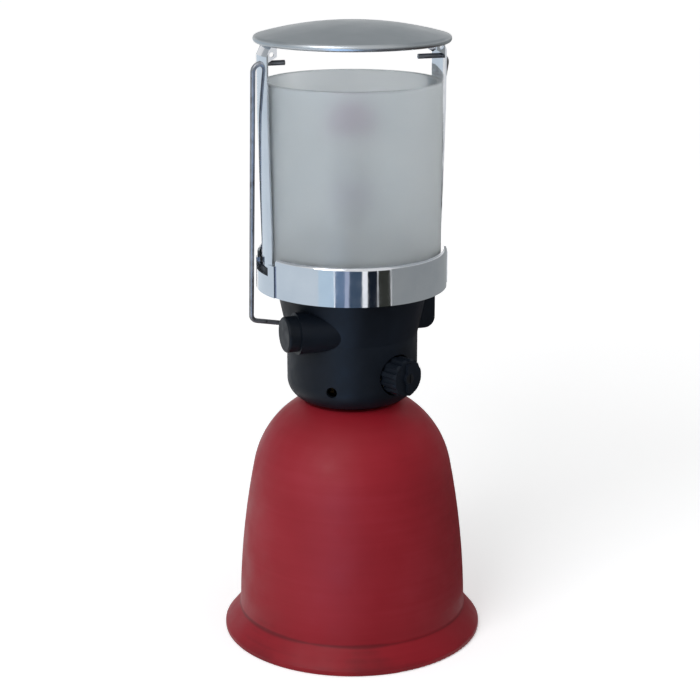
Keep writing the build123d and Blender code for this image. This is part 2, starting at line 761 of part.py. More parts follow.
def glass_tray():
    tray = ring(GLASS_R + TRAY_OVER, TUBE_R + FIT, RIM_Z, GLASS_Z)
    for spot in spots(TRAY_VENTS, TRAY_VENT_RING_R, 180 / TRAY_VENTS):
        tray -= spot * rod(TRAY_VENT_R, RIM_Z, GLASS_Z)
    for angle in POST_ANGLES:
        tray -= Rot(0, 0, angle) * Pos(POST_RING_R, 0, 0) * rod(TRAY_SCREW_R, RIM_Z, GLASS_Z)
    return tray - Pos(ELECTRODE_X, ELECTRODE_Y, 0) * rod(INSULATOR_R, RIM_Z, GLASS_Z)


def tray_screws():
    screw = rod(TRAY_SCREW_R, GLASS_Z - TRAY_SCREW_L, GLASS_Z)
    screw += rod(TRAY_SCREW_HEAD_R, GLASS_Z, GLASS_Z + TRAY_SCREW_HEAD_T)
    places = [Rot(0, 0, a) * Pos(POST_RING_R, 0, 0) for a in POST_ANGLES]
    return Compound([place * screw.solid() for place in places])


def tray_nut():
    return hex_nut(TRAY_NUT_FLATS, TUBE_R, GLASS_Z, GLASS_Z + TRAY_NUT_T)


def collar():
    curl_z = COLLAR_TOP_Z - COLLAR_CURL
    curl_r = COLLAR_R - COLLAR_CURL
    lip_z = COLLAR_Z + COLLAR_LIP_T
    turn = CenterArc((curl_r, curl_z), COLLAR_CURL, 0, 90)
    inner_turn = CenterArc((curl_r, curl_z), COLLAR_CURL - COLLAR_T, 0, 90)
    wall = Polyline(
        inner_turn @ 0,
        (COLLAR_IN_R, lip_z),
        (COLLAR_IN_R - COLLAR_LIP_W, lip_z),
        (COLLAR_IN_R - COLLAR_LIP_W, COLLAR_Z),
        (COLLAR_R, COLLAR_Z),
        turn @ 0,
    )
    band = spun(make_face(Curve() + [turn, inner_turn, wall, Line(turn @ 1, inner_turn @ 1)]))
    notch_z = COLLAR_TOP_Z - NOTCH_DROP
    panel_face = make_face(
        Polyline(
            (COLLAR_IN_R + COLLAR_T / 2, COLLAR_Z),
            (COLLAR_R + PANEL_OUT, COLLAR_Z),
            (COLLAR_R + PANEL_OUT, notch_z),
            (COLLAR_IN_R + COLLAR_T / 2, notch_z),
            close=True,
        )
    )
    panel = sector(panel_face, NOTCH_HALF)
    cut = extrude(Plane((0, 0, notch_z), x_dir=(0, 1, 0), z_dir=(1, 0, 0)) * notch_face(), 2 * COLLAR_R)
    for side in (Rot(0, 0, 0), Rot(0, 0, 180)):
        band += side * panel
        band -= side * cut
    return band


def notch_face():
    """Wide notch in the collar, flared at the top by rounded corners, with a deep slot for the upright."""
    half_width = COLLAR_R * sin(radians(NOTCH_HALF))
    slot_half = STRIP_OUT_R * sin(radians(STRIP_HALF)) + SLOT_ROOM
    face = Pos(0, NOTCH_DROP / 2) * Rectangle(2 * half_width, NOTCH_DROP)
    face += Pos(0, NOTCH_DROP - SLOT_DROP / 2) * Rectangle(2 * slot_half, SLOT_DROP)
    for side in (-1, 1):
        square = Pos(side * (half_width + NOTCH_CORNER / 2), NOTCH_DROP - NOTCH_CORNER / 2)
        centre = Pos(side * (half_width + NOTCH_CORNER), NOTCH_DROP - NOTCH_CORNER)
        face += square * Rectangle(NOTCH_CORNER, NOTCH_CORNER) - centre * Circle(NOTCH_CORNER)
    return face


def glass_chimney():
    glass = ring(GLASS_R, GLASS_R - GLASS_WALL, GLASS_Z, GLASS_TOP_Z)
    return fillet(glass.edges().filter_by(GeomType.CIRCLE), GLASS_EDGE)


# Igniter


def igniter_unit():
    unit = rod(BARREL_BORE_R - FIT, BARREL_TAIL, UNIT_FRONT)
    unit += rod(UNIT_TAIL_R, BARREL_TAIL - UNIT_TAIL_L, BARREL_TAIL)
    depth = PLUNGER_IN + BUTTON_TRAVEL + GAP
    return IGNITER_AXIS * (unit - rod(PLUNGER_R + RUNNING, UNIT_FRONT - depth, UNIT_FRONT))


def igniter_ring():
    return IGNITER_AXIS * ring(
        BARREL_BORE_R, IGNITER_RING_BORE_R, UNIT_FRONT, UNIT_FRONT + IGNITER_RING_T
    )


def igniter_button():
    button = rod(BUTTON_R, BUTTON_FACE - BUTTON_SKIRT, BUTTON_FACE)
    button = fillet(button.edges().sort_by(Axis.Z)[-1], BUTTON_EDGE)
    button -= rod(BUTTON_R - BUTTON_WALL, BUTTON_FACE - BUTTON_SKIRT, BUTTON_FACE - BUTTON_TOP_T)
    button += rod(PLUNGER_R, UNIT_FRONT - PLUNGER_IN, BUTTON_FACE - BUTTON_TOP_T)
    return IGNITER_AXIS * button


def igniter_spring():
    low = UNIT_FRONT + SPRING_WIRE_R
    high = BUTTON_FACE - BUTTON_TOP_T - SPRING_WIRE_R
    coil = Helix((high - low) / SPRING_TURNS, high - low, SPRING_R)
    wire = sweep(Plane(coil @ 0, z_dir=coil % 0) * Circle(SPRING_WIRE_R), coil)
    return IGNITER_AXIS * Pos(0, 0, low) * wire


def electrode_insulator():
    stem = rod(INSULATOR_R, RIM_Z - INSULATOR_BELOW, GLASS_Z + INSULATOR_ABOVE)
    stem -= rod(ELECTRODE_R, RIM_Z - INSULATOR_BELOW, GLASS_Z + INSULATOR_ABOVE)
    return Pos(ELECTRODE_X, ELECTRODE_Y, 0) * stem


def electrode():
    foot = (ELECTRODE_X, ELECTRODE_Y, RIM_Z - INSULATOR_BELOW)
    bend = (ELECTRODE_X, ELECTRODE_Y, GLASS_Z + INSULATOR_ABOVE + ELECTRODE_RISE)
    reach = HEAD_R + GAP + MANTLE_T + SPARK_GAP
    share = reach / hypot(ELECTRODE_X, ELECTRODE_Y)
    tip = (ELECTRODE_X * share, ELECTRODE_Y * share, bend[2] + ELECTRODE_BEND)
    path = FilletPolyline(foot, bend, tip, radius=ELECTRODE_BEND / 2)
    return sweep(Plane(path @ 0, z_dir=path % 0) * Circle(ELECTRODE_R), path)


def ignition_lead():
    """High-voltage lead from the tail of the igniter to the foot of the electrode."""
    tail_x = UNIT_TAIL_L - BARREL_TAIL
    foot_z = RIM_Z - INSULATOR_BELOW
    points = [
        (tail_x, -IGNITER_OUT, IGNITER_Z),
        (tail_x + LEAD_LOOP, -IGNITER_OUT, IGNITER_Z),
        (tail_x + LEAD_LOOP, ELECTRODE_Y - LEAD_SIDE, foot_z - LEAD_DROP),
        (ELECTRODE_X, ELECTRODE_Y, foot_z - LEAD_RISE),
        (ELECTRODE_X, ELECTRODE_Y, foot_z),
    ]
    path = FilletPolyline(*points, radius=LEAD_BEND)
    return sweep(Plane(path @ 0, z_dir=path % 0) * Circle(LEAD_R), path)


# Guard


def ball_height(radius, inset):
    """Height of the cap's ball, moved inwards by inset, at a radius from the axis."""
    return CAP_BALL_Z + sqrt((CAP_BALL_R - inset) ** 2 - radius**2)


def top_cap():
    """Domed sheet whose outside runs smoothly into the bead at its rim."""
    touch_r = BEAD_RING_R * CAP_BALL_R / (CAP_BALL_R - BEAD_R)
    over = ThreePointArc(
        (0, CAP_TOP_Z),
        (BEAD_RING_R / 2, ball_height(BEAD_RING_R / 2, 0)),
        (touch_r, ball_height(touch_r, 0)),
    )
    under = ThreePointArc(
        (0, CAP_TOP_Z - CAP_T),
        (BEAD_RING_R / 2, ball_height(BEAD_RING_R / 2, CAP_T)),
        (BEAD_RING_R, ball_height(BEAD_RING_R, CAP_T)),
    )
    sheet = make_face(Curve() + [over, under, Line(over @ 0, under @ 0), Line(over @ 1, under @ 1)])
    bead = Pos(BEAD_RING_R, CAP_RIM_Z) * Circle(BEAD_R)
    return spun(sheet + bead)


def upright():
    """Curved chrome strip on the +X side, with a tab under the cap and two ears at its head."""
    foot_z = RIM_Z - SOCKET_DEPTH
    straight_z = foot_z + STRIP_STRAIGHT
    lean_z = straight_z + LEAN_H
    top_in = STRIP_IN_R + STRIP_LEAN
    top_out = top_in + STRIP_T
    neck_z = CAP_RIM_Z - BEAD_R - GAP
    bend_z = neck_z - NECK_DROP
    tab_out = top_in - NECK_IN
    strip = make_face(
        Polyline(
            (STRIP_IN_R, foot_z),
            (STRIP_OUT_R, foot_z),
            (STRIP_OUT_R, straight_z),
            (top_out, lean_z),
            (top_out, bend_z),
            (tab_out + STRIP_T, neck_z),
            (tab_out + STRIP_T, ball_height(tab_out + STRIP_T, CAP_T)),
            (tab_out, ball_height(tab_out, CAP_T)),
            (tab_out, neck_z),
            (top_in, bend_z),
            (top_in, lean_z),
            (STRIP_IN_R, straight_z),
            close=True,
        )
    )
    tab_in = tab_out - TAB_L
    tab_mid = (tab_out + tab_in) / 2
    over = ThreePointArc(
        *[(r, ball_height(r, CAP_T)) for r in (tab_out + STRIP_T, tab_mid, tab_in)]
    )
    under = ThreePointArc(
        *[(r, ball_height(r, CAP_T + STRIP_T)) for r in (tab_out + STRIP_T, tab_mid, tab_in)]
    )
    tab = make_face(Curve() + [over, under, Line(over @ 0, under @ 0), Line(over @ 1, under @ 1)])
    piece = sector(strip + tab, STRIP_HALF)
    ear_y = top_in * sin(radians(STRIP_HALF)) - EAR_T
    ear_x = top_out * cos(radians(STRIP_HALF))
    ear = make_face(
        Polyline(
            (ear_x - EAR_DEPTH, bend_z),
            (ear_x, bend_z - EAR_H),
            (ear_x, bend_z),
            (tab_out + STRIP_T / 2, neck_z),
            (ear_x - EAR_DEPTH, neck_z),
            close=True,
        )
    )
    ear -= Pos(ear_x - EAR_DEPTH / 2, bend_z + EAR_HOLE_UP) * Circle(EAR_HOLE_R)
    for side in (ear_y, -ear_y - EAR_T):
        piece += Pos(0, side, 0) * extrude(Plane.XZ * ear, -EAR_T)
    return piece - Pos(0, 0, PIVOT_Z) * Rot(0, 90, 0) * rod(WIRE_R + RUNNING, 0, CAP_R)


def bail():
    bottom_x = BAIL_X - BAIL_NARROW
    pin_x = STRIP_IN_R + STRIP_LEAN - PIN_INSIDE
    half = [(pin_x, 0, 0), (BAIL_X, 0, 0), (bottom_x, 0, -BAIL_DROP)]
    points = [(-x, y, z) for x, y, z in half] + [(0, 0, -BAIL_DROP - BAIL_VEE)] + half[::-1]
    path = FilletPolyline(*points, radius=BAIL_CORNER)
    wire = sweep(Plane(path @ 0, z_dir=path % 0) * Circle(WIRE_R), path)
    lean = asin((HOUSING_R + WIRE_R + BAIL_REST_ROOM) / (BAIL_DROP + BAIL_VEE))
    return Pos(0, 0, PIVOT_Z) * Rot(degrees(lean), 0, 0) * wire


PIECES = {
    "cartridge_holder": cartridge_holder,
    "neck_bush": neck_bush,
    "cartridge_stirrup": cartridge_stirrup,
    "neck_rivets": neck_rivets,
    "gas_cartridge": gas_cartridge,
    "neck_washer": neck_washer,
    "valve_housing": valve_housing,
    "valve_block": valve_block,
    "block_screws": block_screws,
    "piercing_needle": piercing_needle,
    "cartridge_seal": cartridge_seal,
    "gas_jet": gas_jet,
    "spindle_seal": spindle_seal,
    "gland_nut": gland_nut,
    "valve_spindle": valve_spindle,
    "control_knob": control_knob,
    "knob_screw": knob_screw,
    "mixing_tube": mixing_tube,
    "burner_head": burner_head,
    "burner_gauze": burner_gauze,
    "mantle_support": mantle_support,
    "mantle": mantle,
    "mantle_tie": mantle_tie,
    "glass_tray": glass_tray,
    "tray_screws": tray_screws,
    "tray_nut": tray_nut,
    "collar": collar,
    "glass_chimney": glass_chimney,
    "igniter_unit": igniter_unit,
    "igniter_ring": igniter_ring,
    "igniter_button": igniter_button,
    "igniter_spring": igniter_spring,
    "electrode_insulator": electrode_insulator,
    "electrode": electrode,
    "ignition_lead": ignition_lead,
    "top_cap": top_cap,
    "right_upright": upright,
    "left_upright": lambda: Rot(0, 0, 180) * upright(),
    "bail": bail,
}

os.makedirs("parts", exist_ok=True)
for name, make in PIECES.items():
    export_step(make(), f"parts/{name}.step")
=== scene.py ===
import json
from math import cos, pi, radians, sin

import bpy
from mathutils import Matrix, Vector


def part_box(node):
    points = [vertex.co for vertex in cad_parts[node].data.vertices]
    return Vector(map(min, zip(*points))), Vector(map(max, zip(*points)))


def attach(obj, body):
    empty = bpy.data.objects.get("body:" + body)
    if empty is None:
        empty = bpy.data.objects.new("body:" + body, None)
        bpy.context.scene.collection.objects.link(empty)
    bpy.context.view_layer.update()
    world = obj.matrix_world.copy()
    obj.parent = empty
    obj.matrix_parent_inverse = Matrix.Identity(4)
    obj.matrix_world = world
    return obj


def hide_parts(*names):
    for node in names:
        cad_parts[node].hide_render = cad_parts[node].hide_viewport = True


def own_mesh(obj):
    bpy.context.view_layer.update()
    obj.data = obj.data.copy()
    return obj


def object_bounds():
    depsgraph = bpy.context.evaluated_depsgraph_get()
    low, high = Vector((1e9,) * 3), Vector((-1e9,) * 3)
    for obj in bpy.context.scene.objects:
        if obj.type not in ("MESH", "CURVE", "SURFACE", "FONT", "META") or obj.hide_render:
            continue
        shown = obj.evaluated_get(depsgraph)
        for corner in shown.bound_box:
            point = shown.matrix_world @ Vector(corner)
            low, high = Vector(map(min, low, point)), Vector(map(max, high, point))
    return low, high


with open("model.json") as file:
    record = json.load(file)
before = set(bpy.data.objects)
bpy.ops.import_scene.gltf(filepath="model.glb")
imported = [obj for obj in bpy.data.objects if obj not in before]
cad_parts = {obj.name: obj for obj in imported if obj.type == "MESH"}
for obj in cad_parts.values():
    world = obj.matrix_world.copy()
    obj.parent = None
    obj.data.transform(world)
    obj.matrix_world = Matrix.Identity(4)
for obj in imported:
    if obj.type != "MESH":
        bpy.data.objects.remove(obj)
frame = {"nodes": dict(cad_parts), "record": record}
cad_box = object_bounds()
nodes = frame["nodes"]

# The photograph's camera, measured from the lantern's axis, in metres and degrees
PHOTO_PX = 700
FOCAL_PX = 1737
SENSOR_MM = 36.0
CAMERA_AZIMUTH = -21.0
CAMERA_REACH = 0.7691
CAMERA_HEIGHT = 0.3601
CAMERA_PITCH = 16.28
CAMERA_SIDE = -0.0010
CAMERA_NEAR = 0.01

# Floor, with the glow it has at some distances from the lantern, and the light from all round
FLOOR_SIZE = 8.0
FLOOR_TONE = (0.9, 0.9, 0.9, 1.0)
FLOOR_FILL = ((0.0, 0.38), (0.35, 0.46), (0.6, 0.56), (1.0, 0.64), (1.8, 0.7), (3.2, 0.73))
AMBIENT = 0.3
WHITE = (1.0, 1.0, 1.0, 1.0)
BLACK = (0.0, 0.0, 0.0, 1.0)

# Lamps
LAMP_REACH = 0.95
LANTERN_MIDDLE = cad_box[1][2] / 2
GLASS_MIDDLE = 0.225

# Cards that only gloss shows: (reach, height) of their edges, standing round the lantern or flat before it
CARD_STEPS = 12
CARD_REACH = 0.55
FOOT = (CARD_REACH, 0.0)
KNEE = (CARD_REACH, 0.14)
WAIST = (CARD_REACH, 0.32)
HEAD = (CARD_REACH, 0.4)
SKY = (CARD_REACH, 1.4)
FLAT_Z = 0.0006
FLAT_NEAR = (0.075, FLAT_Z)
FLAT_MIDDLE = (0.16, FLAT_Z)
FLAT_FAR = (0.54, FLAT_Z)
WINDOW_GLOW = (1.7, 3.2, 5.6, 1.0)

# Textures: the range that noise mostly keeps to, and the length of one wave at scale 1
NOISE_LOW = 0.3
NOISE_HIGH = 0.7
WAVE_LENGTH = 2 * pi / 20

# Bell: its reds from dirty to rubbed pale, rings from the mould, painted shade in the crease over its foot, and
# darker towards the bottom
BELL_TONES = ((0.2, (100, 12, 22)), (0.45, (134, 19, 31)), (0.68, (141, 24, 36)), (0.92, (148, 34, 46)))
MOULD_RING = 0.0022
MOULD_RING_ROUND = 60
MOULD_RING_SHARE = 0.3
CREASE_Z = 0.0113
CREASE_HALF = 0.0013
# Depth of the painted shade along the crease
CREASE_SHADE = 0.35
# How much darker the bell gets towards the bottom, over its foot
FOOT_DARKENING = 0.2

# Mantle: a knitted sock with pleats under its string and folds over the burner
MANTLE_ROUND = 160
MANTLE_CLEAR = 0.00015
MANTLE_WAIST = 0.82
PLEATS = 26
PLEAT_DEPTH = 0.00022
FOLDS = 7
FOLD_DEPTH = 0.0009
FOLD_SWAY = 0.2
FOLD_TWIST = 0.12
KNIT_PITCH = 0.001381
KNIT_WANDER = 0.6
KNIT_SHARE = 0.05
TIE_HALF = 0.0012
# Shares of the crown: height over its ring, radius, depth of the folds
MANTLE_CROWN = ((-0.25, 1.0, 0.25), (0.25, 0.94, 0.12), (0.7, 0.62, 0.08), (0.96, 0.2, 0.0))
# Dye from the mouth to the crown; the two greyer stops at the mouth are painted shade of the burner under the
# cloth
MANTLE_DYE_AND_SHADE = (
    (0.0, (146, 120, 154)),
    (0.18, (154, 132, 162)),
    (0.3, (216, 212, 208)),
    (0.64, (224, 220, 215)),
    (0.76, (156, 92, 136)),
    (1.0, (170, 108, 150)),
)

# String round the mantle
STRING_R = 0.00045
STRING_BEVEL = 3
STRING_ORDER = 3
LAP_STEPS = 28
TAIL_LENGTH = 0.007
TAIL_SPREAD = 9
KNOT_ANGLE = -120
KNOT_R = 0.0009
KNOT_STEPS = 24
KNOT_LOBE = 0.35
KNOT_DEPTH = 0.5


def rgb(red, green, blue):
    """Linear colour of an 8-bit screen colour."""
    def linear(value):
        value /= 255
        return value / 12.92 if value <= 0.04045 else ((value + 0.055) / 1.055) ** 2.4
    return (linear(red), linear(green), linear(blue), 1.0)


def around(azimuth, reach, height):
    """A point at an azimuth counted as the views count it: 0 in front, 90 on the right."""
    turn = radians(azimuth)
    return Vector((reach * sin(turn), -reach * cos(turn), height))


class Finish:
    """A Principled material: uniform values on the shader's own sockets, the rest from textures."""

    def __init__(self, name, **sockets):
        self.material = bpy.data.materials.new(name)
        self.material.use_nodes = True
        self.tree = self.material.node_tree
        self.shader = self.tree.nodes["Principled BSDF"]
        for socket, value in sockets.items():
            title = socket.replace("_", " ").title().replace("Ior", "IOR")
            self.shader.inputs[title].default_value = value
        self.place = self.node("ShaderNodeTexCoord").outputs["Object"]

    def feed(self, value, socket):
        """Link or set a socket."""
        if isinstance(value, bpy.types.NodeSocket):
            self.tree.links.new(value, socket)
        else:
            socket.default_value = value

    def node(self, kind, **inputs):
        """A node with its inputs linked or set."""
        made = self.tree.nodes.new(kind)
        for name, value in inputs.items():
            self.feed(value, made.inputs[name.replace("_", " ").title()])
        return made

    def maths(self, operation, first, second):
        made = self.node("ShaderNodeMath")
        made.operation = operation
        self.feed(first, made.inputs[0])
        self.feed(second, made.inputs[1])
        return made.outputs[0]

    def noise(self, cell, detail, stretch=(1, 1, 1)):
        """Noise whose patches are about one cell across, in metres, and longer along a stretched axis."""
        scale = [1 / (cell * along) for along in stretch]
        spread = self.node("ShaderNodeMapping", vector=self.place, scale=scale)
        patches = self.node("ShaderNodeTexNoise", vector=spread.outputs[0], scale=1.0, detail=detail)
        return patches.outputs["Fac"]

    def rings(self, pitch, detail):
        """Noise that changes only with the distance from the lantern's axis: the marks of spinning."""
        flat = self.node("ShaderNodeVectorMath", vector=self.place)
        flat.operation = "MULTIPLY"
        flat.inputs[1].default_value = (1, 1, 0)
        reach = self.node("ShaderNodeVectorMath", vector=flat.outputs[0])
        reach.operation = "LENGTH"
        lines = self.node("ShaderNodeTexNoise", scale=1 / pitch, detail=detail)
        lines.noise_dimensions = "1D"
        self.tree.links.new(reach.outputs["Value"], lines.inputs["W"])
        return lines.outputs["Fac"]

    def knit(self, pitch):
        """Small loops: two sets of bands that cross."""
        bands = []
        for axis in "DIAGONAL", "Z":
            band = self.node(
                "ShaderNodeTexWave", vector=self.place, scale=WAVE_LENGTH / pitch, distortion=KNIT_WANDER
            )
            band.bands_direction = axis
            bands.append(band.outputs["Fac"])
        return self.maths("MULTIPLY", *bands)

    def height(self, low, high):
        """0 under one height on the lantern, 1 over another."""
        upward = self.node("ShaderNodeSeparateXYZ", vector=self.place).outputs["Z"]
        return self.node("ShaderNodeMapRange", value=upward, from_min=low, from_max=high).outputs[0]

    def ramp(self, factor, stops):
        """Colour that runs through (place, colour) stops."""
        made = self.node("ShaderNodeValToRGB", fac=factor)
        elements = made.color_ramp.elements
        elements[0].position, elements[0].color = stops[0]
        elements[1].position, elements[1].color = stops[-1]
        for place, tone in stops[1:-1]:
            elements.new(place).color = tone
        return made.outputs["Color"]

    def colour(self, factor, *stops):
        """Base colour from a texture: (place, 8-bit colour) stops."""
        tones = [(place, rgb(*tone)) for place, tone in stops]
        self.tree.links.new(self.ramp(factor, tones), self.shader.inputs["Base Color"])

    def rough(self, factor, low, high):
        """Roughness between two levels, from a texture."""
        level = self.node(
            "ShaderNodeMapRange", value=factor, from_min=NOISE_LOW, from_max=NOISE_HIGH, to_min=low, to_max=high
        )
        self.tree.links.new(level.outputs[0], self.shader.inputs["Roughness"])

    def bump(self, *layers):
        """Relief from (height texture, depth in metres) layers."""
        normal = None
        for height, depth in layers:
            relief = self.node("ShaderNodeBump", height=height, distance=depth, strength=1.0)
            if normal is not None:
                self.tree.links.new(normal, relief.inputs["Normal"])
            normal = relief.outputs["Normal"]
        self.tree.links.new(normal, self.shader.inputs["Normal"])


def patchy(name, patch, tones, gloss, grain, depth, **sockets):
    """Finish in patches of tone and of gloss, with a grain.

    Patch and grain are (cell, detail) of their noise, gloss is (cell, detail, low, high).
    """
    finish = Finish(name, **sockets)
    finish.colour(finish.noise(*patch), *tones)
    cell, detail, low, high = gloss
    finish.rough(finish.noise(cell, detail), low, high)
    finish.bump((finish.noise(*grain), depth))
    return finish.material


PATCHY = {
    "black_plastic": dict(
        patch=(0.03, 4), tones=((0.35, (11, 16, 23)), (0.7, (18, 24, 33))),
        gloss=(0.008, 5, 0.4, 0.58), grain=(0.0004, 2), depth=0.000015, specular_ior_level=0.12,
    ),
    "button_plastic": dict(
        patch=(0.01, 4), tones=((0.35, (14, 18, 24)), (0.7, (22, 27, 34))),
        gloss=(0.004, 5, 0.34, 0.5), grain=(0.0003, 2), depth=0.00002, specular_ior_level=0.1,
    ),
    # Drawn wire, dull grey, with dark specks of rust in the plating
    "wire_steel": dict(
        patch=(0.004, 5), tones=((0.28, (92, 90, 90)), (0.45, (118, 120, 124)), (0.7, (134, 136, 141))),
        gloss=(0.002, 4, 0.26, 0.46), grain=(0.0006, 3), depth=0.00003, metallic=0.55,
    ),
    # Etched tube: the frosting scatters, so what is inside shows only as soft shapes
    "frosted_glass": dict(
        patch=(0.03, 3), tones=((0.3, (212, 218, 221)), (0.7, (219, 224, 226))),
        gloss=(0.006, 4, 0.34, 0.42), grain=(0.0005, 2), depth=0.00002, ior=1.46, transmission_weight=0.72,
    ),
    # Plating toned dark: painted shade, so the lower glass round the tray stays dim
    "plated_steel": dict(
        patch=(0.006, 5), tones=((0.3, (116, 118, 120)), (0.7, (144, 146, 148))),
        gloss=(0.003, 4, 0.22, 0.4), grain=(0.0008, 3), depth=0.00003, metallic=1.0,
    ),
    "black_steel": dict(
        patch=(0.003, 4), tones=((0.3, (30, 32, 36)), (0.7, (44, 46, 50))),
        gloss=(0.002, 4, 0.4, 0.55), grain=(0.0004, 3), depth=0.00002, metallic=0.8,
    ),
    # Painted cartridge, plain blue
    "can_steel": dict(
        patch=(0.02, 5), tones=((0.28, (82, 118, 168)), (0.7, (94, 130, 178))),
        gloss=(0.006, 4, 0.28, 0.4), grain=(0.004, 2), depth=0.00004, coat_weight=0.4,
    ),
    # Stainless pressing, toned darker: painted shade, so the burner shows dark through the glass
    "burner_steel": dict(
        patch=(0.008, 4), tones=((0.3, (88, 80, 84)), (0.7, (110, 104, 106))),
        gloss=(0.002, 4, 0.3, 0.48), grain=(0.0006, 3), depth=0.00003, metallic=1.0,
    ),
    "rubber": dict(
        patch=(0.004, 4), tones=((0.3, (26, 26, 27)), (0.7, (36, 36, 37))),
        gloss=(0.002, 3, 0.6, 0.75), grain=(0.0003, 2), depth=0.00002, specular_ior_level=0.3,
    ),
    "fibre": dict(
        patch=(0.0015, 5), tones=((0.3, (86, 46, 34)), (0.7, (112, 64, 48))),
        gloss=(0.001, 3, 0.6, 0.8), grain=(0.0004, 3, (4, 1, 1)), depth=0.00004, specular_ior_level=0.3,
    ),
    "ceramic": dict(
        patch=(0.004, 4), tones=((0.3, (222, 216, 204)), (0.7, (236, 232, 224))),
        gloss=(0.002, 3, 0.25, 0.4), grain=(0.0005, 2), depth=0.00002, specular_ior_level=0.5,
    ),
    "lead_cover": dict(
        patch=(0.004, 4), tones=((0.3, (150, 58, 50)), (0.7, (166, 70, 60))),
        gloss=(0.002, 3, 0.4, 0.55), grain=(0.0004, 2), depth=0.00002, specular_ior_level=0.4,
    ),
}


def red_plastic():
    """Matt moulded shell: faint rings from the mould, a pale haze of handling, painted shade in the crease over
    the foot, and darker towards the bottom.
    """
    finish = Finish("red_plastic", specular_ior_level=0.22)
    rings = finish.noise(cell=MOULD_RING, detail=3, stretch=(MOULD_RING_ROUND, MOULD_RING_ROUND, 1))
    patches = finish.noise(cell=0.045, detail=4)
    haze = finish.maths("ADD", patches, finish.maths("MULTIPLY", rings, MOULD_RING_SHARE))
    # Painted shade: a dark line along the crease where the flare meets the wall
    crease = finish.maths(
        "SUBTRACT",
        finish.height(CREASE_Z - CREASE_HALF, CREASE_Z),
        finish.height(CREASE_Z, CREASE_Z + CREASE_HALF),
    )
    crease_shade_added = finish.maths("SUBTRACT", haze, finish.maths("MULTIPLY", crease, CREASE_SHADE))
    # Darker towards the bottom, over the foot
    foot = finish.maths("SUBTRACT", 1.0, finish.height(0, 2 * CREASE_Z))
    shade_and_darkening = finish.maths("SUBTRACT", crease_shade_added, finish.maths("MULTIPLY", foot, FOOT_DARKENING))
    finish.colour(shade_and_darkening, *BELL_TONES)
    finish.rough(finish.noise(cell=0.012, detail=5), low=0.44, high=0.6)
    finish.bump((rings, 0.00009), (finish.noise(cell=0.00045, detail=2), 0.000012))
    return finish.material


def chrome():
    """Bright plating: slight waves of the pressed strip under it, a few dull smudges."""
    finish = Finish("chrome", metallic=1.0)
    finish.colour(finish.noise(cell=0.02, detail=3), (0.3, (196, 200, 206)), (0.7, (208, 210, 214)))
    finish.rough(finish.noise(cell=0.009, detail=6), low=0.05, high=0.13)
    waves = finish.noise(cell=0.018, detail=1, stretch=(1, 1, 3))
    finish.bump((waves, 0.0002), (finish.noise(cell=0.005, detail=1), 0.00002))
    return finish.material


def cap_metal():
    """Spun sheet, satin: rings about the axis and a soft uneven polish."""
    finish = Finish("cap_metal", metallic=1.0)
    finish.colour(finish.noise(cell=0.025, detail=4), (0.3, (158, 163, 166)), (0.7, (168, 172, 175)))
    finish.rough(finish.noise(cell=0.01, detail=5), low=0.32, high=0.42)
    finish.bump((finish.rings(pitch=0.0007, detail=2), 0.000035))
    return finish.material


def brass():
    """Turned brass, toned darker: painted shade, so the burner shows dark through the glass."""
    finish = Finish("brass", metallic=1.0)
    finish.colour(finish.noise(cell=0.006, detail=5), (0.3, (132, 112, 70)), (0.7, (158, 136, 88)))
    finish.rough(finish.noise(cell=0.003, detail=4), low=0.2, high=0.36)
    finish.bump((finish.rings(pitch=0.0004, detail=2), 0.00002))
    return finish.material


def mantle_cloth():
    """Unburnt knitted rayon: white, dyed lilac at its crown, with a greyer lilac painted as shade of the burner
    where it is tied over it.
    """
    finish = Finish("mantle_cloth", sheen_weight=0.35, sheen_roughness=0.5, specular_ior_level=0.2)
    knit = finish.knit(KNIT_PITCH)
    low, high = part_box("mantle")
    upward = finish.height(low[2], high[2])
    # Dye up the sock, with painted shade of the burner at its mouth
    finish.colour(finish.maths("ADD", upward, finish.maths("MULTIPLY", knit, KNIT_SHARE)), *MANTLE_DYE_AND_SHADE)
    finish.rough(finish.noise(cell=0.002, detail=3), low=0.75, high=0.95)
    finish.bump((knit, 0.00018))
    return finish.material


def string():
    """Undyed twine."""
    finish = Finish("string", sheen_weight=0.3, specular_ior_level=0.2)
    twist = finish.noise(cell=0.0005, detail=3, stretch=(1, 1, 2))
    finish.colour(twist, (0.3, (196, 186, 168)), (0.7, (226, 218, 202)))
    finish.rough(twist, low=0.75, high=0.95)
    finish.bump((twist, 0.00012))
    return finish.material


def dress():
    """Every CAD node takes the finish that its slot in the record names."""
    finishes = {name: patchy(name, **look) for name, look in PATCHY.items()}
    for make in red_plastic, chrome, cap_metal, brass, mantle_cloth, string:
        finishes[make.__name__] = make()
    for part in frame["record"]["subparts"]:
        mesh = nodes[part["node"]].data
        mesh.materials.clear()
        mesh.materials.append(finishes[part["material_slot"]])
    return finishes


def linked(name, data):
    """An object in the scene."""
    made = bpy.data.objects.new(name, data)
    bpy.context.collection.objects.link(made)
    return made


def mesh_piece(name, points, faces, finish):
    mesh = bpy.data.meshes.new(name)
    mesh.from_pydata(points, [], faces)
    mesh.polygons.foreach_set("use_smooth", [True] * len(faces))
    mesh.materials.append(finish)
    return linked(name, mesh)


def camera():
    data = bpy.data.cameras.new("camera")
    data.sensor_width = SENSOR_MM
    data.lens = FOCAL_PX / PHOTO_PX * SENSOR_MM
    data.clip_start = CAMERA_NEAR
    made = linked("camera", data)
    turn = radians(CAMERA_AZIMUTH)
    aside = Vector((cos(turn), sin(turn), 0)) * CAMERA_SIDE
    made.location = around(CAMERA_AZIMUTH, CAMERA_REACH, CAMERA_HEIGHT) + aside
    made.rotation_euler = (radians(90 - CAMERA_PITCH), 0, turn)
    bpy.context.scene.camera = made


